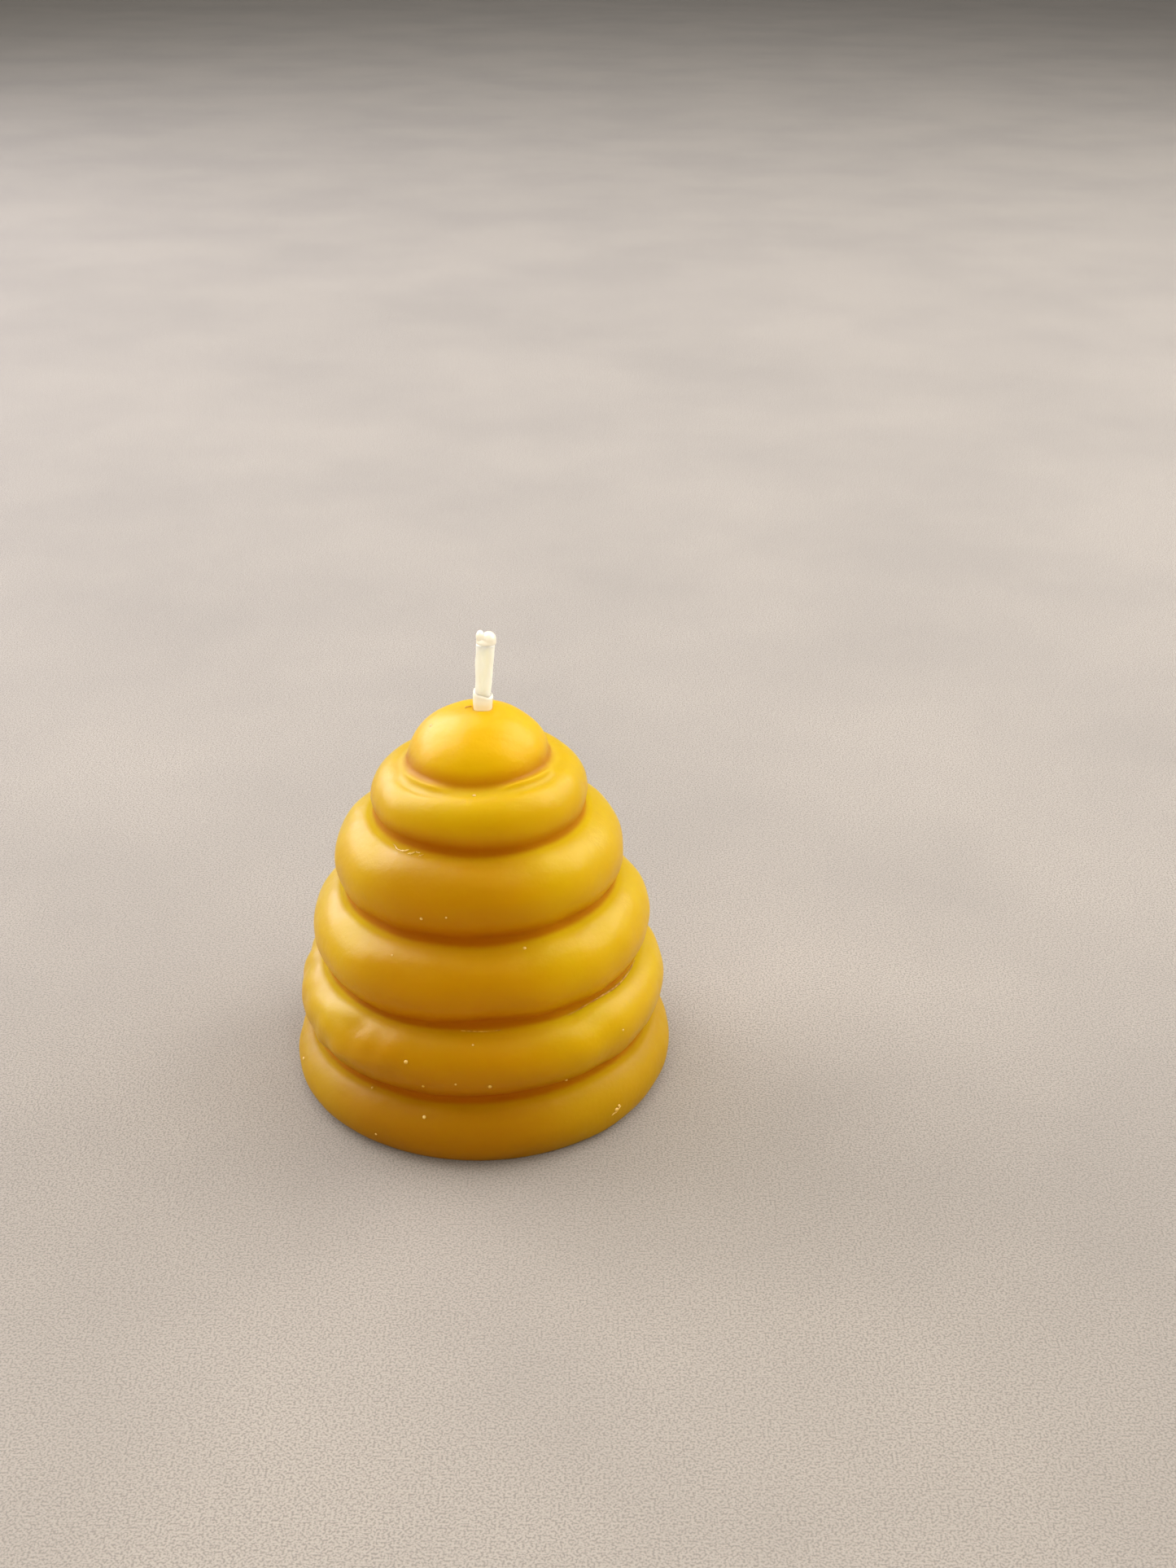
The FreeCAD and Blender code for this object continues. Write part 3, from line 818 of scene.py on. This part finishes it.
@dataclass
class CastingMarks:
    """What the mould and handling left on the wax: nibs, flash lines, small burrs."""

    body: SkepBody
    nibs: tuple[Nib, ...] = (
        Nib(3, -110.0, -5.0, 0.22), Nib(3, -100.0, 0.0, 0.14), Nib(3, 40.0, 10.0, 0.24),
        Nib(2, -70.0, 70.0, 0.24), Nib(2, -120.0, 50.0, 0.14), Nib(2, 150.0, -10.0, 0.22),
        Nib(1, -110.0, 20.0, 0.30), Nib(1, -85.0, -15.0, 0.28), Nib(1, -95.0, -10.0, 0.17),
        Nib(1, -105.0, -20.0, 0.20), Nib(1, -60.0, -45.0, 0.22), Nib(1, -40.0, 15.0, 0.16),
        Nib(1, -90.0, 55.0, 0.15), Nib(1, 95.0, 10.0, 0.26), Nib(0, -105.0, 40.0, 0.26),
        Nib(0, -125.0, 60.0, 0.17), Nib(0, -120.0, -10.0, 0.16), Nib(0, -45.0, 0.0, 0.34),
        Nib(0, -44.0, 4.0, 0.24), Nib(0, 200.0, 20.0, 0.25), Nib(4, -90.0, 85.0, 0.24),
        Nib(5, -165.0, 60.0, 0.26))
    flashes: tuple[Ridge, ...] = (
        Ridge(1, (-60.0, -10.0), (79.0, 77.0), 0.15, 0.36, 160),
        Ridge(1, (-110.0, -70.0), (80.0, 80.0), 0.10, 0.24, 120),
        Ridge(6, (175.0, 187.0), (82.0, 78.0), 0.14, 0.20))
    burrs: tuple[Ridge, ...] = (
        Ridge(3, (-137.0, -127.0), (77.0, 71.0), 0.08, 0.06),
        Ridge(3, (-129.0, -125.0), (71.0, 78.0), 0.18, 0.20),
        Ridge(3, (-124.0, -121.0), (70.0, 77.0), 0.17, 0.19),
        Ridge(3, (-118.0, -116.0), (72.0, 77.0), 0.13, 0.15),
        Ridge(3, (-123.0, -117.0), (79.0, 78.0), 0.12, 0.12),
        Ridge(4, (-126.0, -123.0), (84.0, 94.0), 0.08, 0.09),
        Ridge(4, (-121.0, -119.0), (83.0, 95.0), 0.08, 0.08),
        Ridge(4, (-117.0, -115.0), (86.0, 92.0), 0.08, 0.08),
        Ridge(0, (-47.0, -43.0), (-6.0, 1.0), 0.13, 0.14))

    nib_outward: float = 0.7
    nib_polar: tuple[float, float] = (2.9, 0.24)
    nib_rings: int = 9
    nib_sides: int = 14
    ridge_sides: int = 10

    def nib_mesh(self, nib: Nib) -> tuple[np.ndarray, list[list[int]]]:
        """Vertices and faces of one nib: a half-sunk ball, flattened outward."""
        point, out = self.body.spot(nib.coil, np.array(nib.around), np.array(nib.up))
        side = np.cross(out, (0.0, 0.0, 1.0)) if abs(out[2]) < 0.9 else np.cross(out, (1.0, 0.0, 0.0))
        side /= np.linalg.norm(side)
        ahead = np.cross(out, side)
        polar, angle = np.meshgrid(np.linspace(*self.nib_polar, self.nib_rings),
                                   np.linspace(0.0, math.tau, self.nib_sides, endpoint=False),
                                   indexing="ij")
        local = (side * (np.sin(polar) * np.cos(angle))[..., None]
                 + ahead * (np.sin(polar) * np.sin(angle))[..., None]
                 + out * (self.nib_outward * np.cos(polar))[..., None])
        return ball_mesh(point + nib.radius * local)

    def ridge_mesh(self, ridge: Ridge) -> tuple[np.ndarray, list[list[int]]]:
        """Vertices and faces of one ridge: an ellipse carried along a line that runs over the coil.

        Its half width and height are the ridge's times the square root of sin(pi t), t from 0 to 1 along
        it, and times an uneven beat between 0.68 and 1.
        """
        share = np.linspace(0.02, 0.98, ridge.stations)
        point, out = self.body.spot(ridge.coil, np.interp(share, (0, 1), ridge.around),
                                    np.interp(share, (0, 1), ridge.up) + 0.8 * np.sin(9.0 * share))
        ahead = np.gradient(point, axis=0)
        side = np.cross(ahead, out)
        side /= np.linalg.norm(side, axis=1, keepdims=True)
        beat = 0.84 - 0.16 * np.sin(41.0 * share + 7.0 * np.sin(13.0 * share))
        taper = np.sqrt(np.sin(math.pi * share)) * beat
        angle = np.linspace(0.0, math.tau, self.ridge_sides, endpoint=False)
        wide = (ridge.half_width * taper)[:, None] * np.cos(angle)
        high = (ridge.height * taper)[:, None] * np.sin(angle)
        points = point[:, None, :] + side[:, None, :] * wide[..., None] + out[:, None, :] * high[..., None]
        return ball_mesh(points)

    def gather(self, name: str, finish: MarkFinish,
               parts: list[tuple[np.ndarray, list[list[int]]]]) -> bpy.types.Object:
        """Joins meshes of marks into one piece of the wax.

        Args:
            name: Name of the piece.
            finish: Its look.
            parts: Vertices in millimetres and faces of each mark.

        Returns:
            The piece.
        """
        faces, first = [], 0
        for points, own_faces in parts:
            faces += [[first + corner for corner in face] for face in own_faces]
            first += len(points)
        piece = make_piece(name, np.vstack([points for points, _ in parts]), faces)
        piece.data.materials.append(bpy.data.materials.get(finish.name) or finish.make())
        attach(piece, BODY)
        return piece

    def build(self) -> list[bpy.types.Object]:
        """Builds the nibs, the flash lines and the burrs."""
        return [self.gather("casting_nibs", THIN_WAX, [self.nib_mesh(nib) for nib in self.nibs]),
                self.gather("flash_lines", FLASH_WAX, [self.ridge_mesh(ridge) for ridge in self.flashes]),
                self.gather("wax_burrs", THIN_WAX, [self.ridge_mesh(ridge) for ridge in self.burrs])]


# ---- wick ------------------------------------------------------------------------------------------


@dataclass
class WickLine:
    """The wick's centre line in millimetres: upright through the wax, a slight bend, then aslant."""

    foot_place: float = 0.72
    bend_level: float = 59.6
    bend_radius: float = 14.0
    lean_degrees: float = 3.6

    def at(self, distance: np.ndarray) -> tuple[np.ndarray, np.ndarray, np.ndarray]:
        """Points and directions on the line.

        The turned angle is the distance past the bend's start over its radius, up to the lean, and the
        line goes straight on from there.

        Args:
            distance: Distances from the foot of the wick.

        Returns:
            Arrays of the points, the directions across the wick towards +X, and those along it.
        """
        lean = math.radians(self.lean_degrees)
        turned = np.clip((distance - self.bend_level) / self.bend_radius, 0.0, lean)
        zero = np.zeros_like(turned)
        across = np.stack([np.cos(turned), zero, -np.sin(turned)], axis=-1)
        along = np.stack([np.sin(turned), zero, np.cos(turned)], axis=-1)
        upright = np.minimum(distance, self.bend_level)
        start = np.stack([self.foot_place + self.bend_radius * (1 - np.cos(turned)), zero,
                          upright + self.bend_radius * np.sin(turned)], axis=-1)
        onward = np.maximum(distance - self.bend_level - self.bend_radius * turned, 0.0)
        return start + along * onward[..., None], across, along


@dataclass
class PrimedWick:
    """The wax that shows on the wick: its coat, the collar at its foot and the beads on its tip."""

    line: WickLine = field(default_factory=WickLine)
    coat_top: float = 69.05
    half_side: float = 1.13
    flared_half_side: float = 1.31
    flare_start: float = 61.5
    coat_power: float = 3.6
    bore_half_side: float = 1.02
    bore_power: float = 5.0
    bore_depth: float = 2.5
    thread_ribs: int = 3
    rib_height: float = 0.016
    plait_length: float = 3.1
    plait_height: float = 0.012
    unevenness: Ripple = field(default_factory=lambda: Ripple(23, 3.2, 0.035, 12))
    columns: int = 96
    collar_low: float = 58.8
    collar_high: float = 61.35
    collar_gap: float = 0.25

    def place(self, distance: np.ndarray, across: np.ndarray, aside: np.ndarray) -> np.ndarray:
        """Points at offsets from the centre line: line(s) + across * x direction + aside * Y."""
        middle, sideways, _ = self.line.at(distance)
        depth = np.array([0.0, 1.0, 0.0])
        return middle + sideways * across[..., None] + depth * aside[..., None]

    def half_width(self, distance: np.ndarray) -> np.ndarray:
        """Half side of the coat: constant in the body, then growing smoothly to its top."""
        rise = smoothstep(self.flare_start, self.coat_top + 2.0, distance)
        return self.half_side + (self.flared_half_side - self.half_side) * rise * 1.25

    def coat(self) -> bpy.types.Object:
        """The coat: a rounded square tube with faint ribs and plaits of the braid under it.

        Its reach is the rounded square's times the half side, plus ribs that follow the cosine of the
        angle times four times their number, and plaits that climb round it both ways.
        """
        heights = np.concatenate([np.linspace(0.0, 58.0, 24), np.linspace(58.5, self.coat_top, 70)])
        angle = np.linspace(0.0, math.tau, self.columns, endpoint=False)
        grid_s, grid_a = np.meshgrid(heights, angle, indexing="ij")
        climb = math.tau * grid_s / self.plait_length
        ribs = self.rib_height * np.cos(4 * self.thread_ribs * grid_a)
        plaits = self.plait_height * (np.sin(climb + 4 * grid_a) + np.sin(climb - 4 * grid_a))
        showing = smoothstep(59.5, 62.0, grid_s)
        reach = self.half_width(grid_s) * squircle(grid_a, self.coat_power)
        straight = np.stack([reach * np.cos(grid_a), reach * np.sin(grid_a), grid_s], axis=-1)
        reach = reach + (ribs + plaits + self.unevenness.at(straight)) * showing
        outer = self.place(grid_s, reach * np.cos(grid_a), reach * np.sin(grid_a))
        bore_s, bore_a = np.meshgrid(np.linspace(self.bore_depth, 0.0, 6), angle, indexing="ij")
        bore = self.bore_half_side * squircle(bore_a, self.bore_power)
        inner = self.place(bore_s, bore * np.cos(bore_a), bore * np.sin(bore_a))
        piece = closed_ball("wick_coat", np.vstack([inner, outer]))
        warmth = smoothstep(62.5, 59.5, np.vstack([bore_s, grid_s]))
        set_attribute(piece, "warmth", np.append(warmth.ravel(), [1.0, 0.0]))
        piece.data.materials.append(PRIMER_WAX.make())
        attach(piece, BODY)
        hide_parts("wick_primer_coat")
        return piece

    def collar(self) -> bpy.types.Object:
        """The ring of wax at the wick's foot: straight-sided, sunk in the dome, with uneven shoulders.

        A profile of (gap from the coat, distance along the wick) is carried round the coat. Its top
        rises to the back and in a long slope to the left, by the square of how far a point faces there.
        """
        climb = np.linspace(0.0, 1.0, 30)
        height = self.collar_low + (self.collar_high - self.collar_low) * climb
        gap = self.collar_gap * (0.78 + 0.22 * smoothstep(0.2, 0.5, climb))
        gap = gap * np.sqrt(np.clip(1.0 - smoothstep(0.80, 1.0, climb) ** 2, 0.0, 1.0)) + 0.01
        angle = np.linspace(0.0, math.tau, self.columns, endpoint=False)
        grid_s, grid_a = np.meshgrid(height, angle, indexing="ij")
        grid_gap = np.repeat(gap[:, None], self.columns, axis=1)
        facing_left = np.clip(-np.cos(grid_a), 0.0, 1.0) ** 2
        shoulders = 0.75 * facing_left - 0.16 * np.sin(3 * grid_a + 0.6) * np.sin(grid_a)
        lift = smoothstep(self.collar_low + 1.3, self.collar_high, grid_s)
        grid_s = grid_s + shoulders * lift
        bulge = 0.05 * np.cos(2 * grid_a + 0.3) * smoothstep(60.0, self.collar_high - 0.3, grid_s)
        reach = self.half_side * squircle(grid_a, 3.0) + grid_gap + bulge * smoothstep(0.0, 0.2, grid_gap)
        outer = self.place(grid_s, reach * np.cos(grid_a), reach * np.sin(grid_a))
        inner_reach = (self.half_side + 0.012) * squircle(grid_a, self.coat_power)
        inner = self.place(grid_s, inner_reach * np.cos(grid_a), inner_reach * np.sin(grid_a))
        piece = closed_ring("wick_collar", np.vstack([outer, inner[::-1]]))
        warmth = smoothstep(61.2, 59.2, grid_s)
        set_attribute(piece, "warmth", np.vstack([warmth, warmth[::-1]]))
        piece.data.materials.append(COLLAR_WAX.make())
        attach(piece, BODY)
        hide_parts("wick_foot_collar")
        return piece

    def tip(self) -> bpy.types.Object:
        """The wax on the wick's cut end: a cap with a narrow tall bead and a broad lower one.

        The surface is seen from a point inside all three lumps. In each direction its distance is a
        smooth maximum of the distances to three ellipsoids: the p-th root of the sum of p-th powers.
        """
        polar = np.linspace(0.04, math.pi - 0.04, 56)[::-1]
        angle = np.linspace(0.0, math.tau, 72, endpoint=False)
        grid_p, grid_a = np.meshgrid(polar, angle, indexing="ij")
        rays = np.stack([np.sin(grid_p) * np.cos(grid_a), np.sin(grid_p) * np.sin(grid_a),
                         np.cos(grid_p)], axis=-1)
        eye = np.array([-0.45, 0.0, 0.62])
        lumps = (((-0.84, -0.1, 0.95), (0.58, 0.80, 0.90)),
                 ((0.36, 0.0, 0.66), (1.06, 1.22, 1.02)),
                 ((0.0, 0.0, 0.15), (1.40, 1.38, 0.80)))
        total = np.zeros_like(grid_p)
        for centre, radii in lumps:
            offset = (eye - np.array(centre)) / np.array(radii)
            scaled = rays / np.array(radii)
            a = (scaled ** 2).sum(axis=-1)
            b = (scaled * offset).sum(axis=-1)
            c = (offset ** 2).sum() - 1.0
            total += ((-b + np.sqrt(b * b - a * c)) / a) ** 14
        distance = total ** (1.0 / 14)
        local = eye + rays * distance[..., None]
        local = local + rays * (0.3 * self.unevenness.at(local * 1.6))[..., None]
        points = self.place(self.coat_top + local[..., 2], local[..., 0], local[..., 1])
        piece = closed_ball("wick_tip_beads", points)
        set_attribute(piece, "warmth", np.zeros(len(piece.data.vertices)))
        piece.data.materials.append(BEAD_WAX.make())
        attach(piece, BODY)
        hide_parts("wick_tip")
        return piece


def dress_strands(nodes: dict[str, bpy.types.Object]) -> None:
    """Gives the braid's cotton strands their finish."""
    cotton = CottonFinish().make()
    for name in sorted(nodes):
        if name.startswith("wick_strand"):
            for slot in nodes[name].material_slots:
                slot.material = cotton


# ---- studio ----------------------------------------------------------------------------------------


class Softbox(Enum):
    """The studio's lights: place and aim in metres, size in metres, power in watts, colour, role.

    A "body" light brightens the wax and isn't mirrored in it; a "gloss" light is only mirrored.
    """

    LEFT_WINDOW = ((-0.72, 0.46, 0.70), (0.0, 0.0, 0.03), 1.05, 46.0, (0.80, 0.78, 1.0), "gloss")
    RIGHT_WINDOW = ((0.70, 0.30, 0.76), (0.0, 0.0, 0.03), 0.90, 23.0, (0.80, 0.78, 1.0), "gloss")
    OVERHEAD = ((0.10, 0.05, 1.1), (0.0, 0.0, 0.0), 1.6, 15.0, (1.0, 0.98, 0.95), "body")
    FRONT_FILL = ((0.0, -1.0, 0.6), (0.0, 0.0, 0.04), 1.0, 8.6, (1.0, 0.95, 0.88), "body")
    LEFT_FILL = ((-0.85, 0.40, 0.40), (0.0, 0.0, 0.03), 0.70, 7.8, (1.0, 0.97, 0.93), "body")
    RIGHT_FILL = ((0.85, 0.35, 0.40), (0.0, 0.0, 0.03), 0.70, 7.4, (1.0, 0.97, 0.93), "body")

    def build(self) -> None:
        """Adds the light to the scene."""
        place, aim, size, power, colour, role = self.value
        lamp = bpy.data.lights.new(self.name.lower(), "AREA")
        lamp.size, lamp.energy, lamp.color = size, power, colour
        holder = bpy.data.objects.new(lamp.name, lamp)
        holder.location = place
        holder.rotation_euler = (Vector(aim) - Vector(place)).to_track_quat("-Z", "Y").to_euler()
        holder.visible_glossy = role == "gloss"
        holder.visible_diffuse = role == "body"
        bpy.context.scene.collection.objects.link(holder)


@dataclass
class Studio:
    """Floor, lights and camera."""

    floor_side: float = 4.0
    front_air: float = 0.05
    back_air: float = 0.28
    lens_mm: float = 44.88
    sensor_mm: float = 36.0
    camera_place: tuple[float, float, float] = (0.0157, -0.2514, 0.1748)
    camera_pitch_degrees: float = 26.92
    camera_roll_degrees: float = 0.52

    def build(self) -> None:
        """Builds the floor, the soft light and the camera."""
        half = self.floor_side / 2
        corners = [(-half, -half, 0.0), (half, -half, 0.0), (half, half, 0.0), (-half, half, 0.0)]
        mesh = bpy.data.meshes.new("floor")
        mesh.from_pydata(corners, [], [(0, 1, 2, 3)])
        floor = bpy.data.objects.new("floor", mesh)
        bpy.context.scene.collection.objects.link(floor)
        mesh.materials.append(FloorFinish().make())
        world = bpy.data.worlds.new("studio_air")
        world.use_nodes = True
        tree = world.node_tree
        air = tree.nodes["Background"].inputs
        air["Color"].default_value = (1.0, 0.97, 0.93, 1.0)
        split = tree.nodes.new("ShaderNodeSeparateXYZ")
        tree.links.new(tree.nodes.new("ShaderNodeTexCoord").outputs["Generated"], split.inputs["Vector"])
        depth = tree.nodes.new("ShaderNodeMapRange")
        depth.inputs["From Min"].default_value = -1.0
        depth.inputs["To Min"].default_value = self.front_air
        depth.inputs["To Max"].default_value = self.back_air
        tree.links.new(split.outputs["Y"], depth.inputs["Value"])
        tree.links.new(depth.outputs["Result"], air["Strength"])
        bpy.context.scene.world = world
        for box in Softbox:
            box.build()
        self.place_camera()
        bpy.context.scene.view_settings.view_transform = "Standard"

    def place_camera(self) -> None:
        """Puts the camera in front of the candle, a little above it, looking down at it."""
        camera = bpy.data.cameras.new("camera")
        camera.sensor_width = self.sensor_mm
        camera.lens = self.lens_mm
        holder = bpy.data.objects.new("camera", camera)
        pitch = Matrix.Rotation(math.radians(90.0 - self.camera_pitch_degrees), 4, "X")
        roll = Matrix.Rotation(math.radians(self.camera_roll_degrees), 4, "Z")
        holder.matrix_world = Matrix.Translation(self.camera_place) @ pitch @ roll
        bpy.context.scene.collection.objects.link(holder)
        bpy.context.scene.camera = holder


def main() -> None:
    """Builds the candle and its studio."""
    logging.basicConfig(level=logging.INFO, format="%(name)s: %(message)s")
    wick = PrimedWick()
    skep = SkepBody()
    for piece in (skep.build(), *CastingMarks(skep).build(), wick.coat(), wick.collar(), wick.tip()):
        log.info("%s: %d vertices", piece.name, len(piece.data.vertices))
    dress_strands(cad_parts)
    Studio().build()


if __name__ == "__main__":
    main()
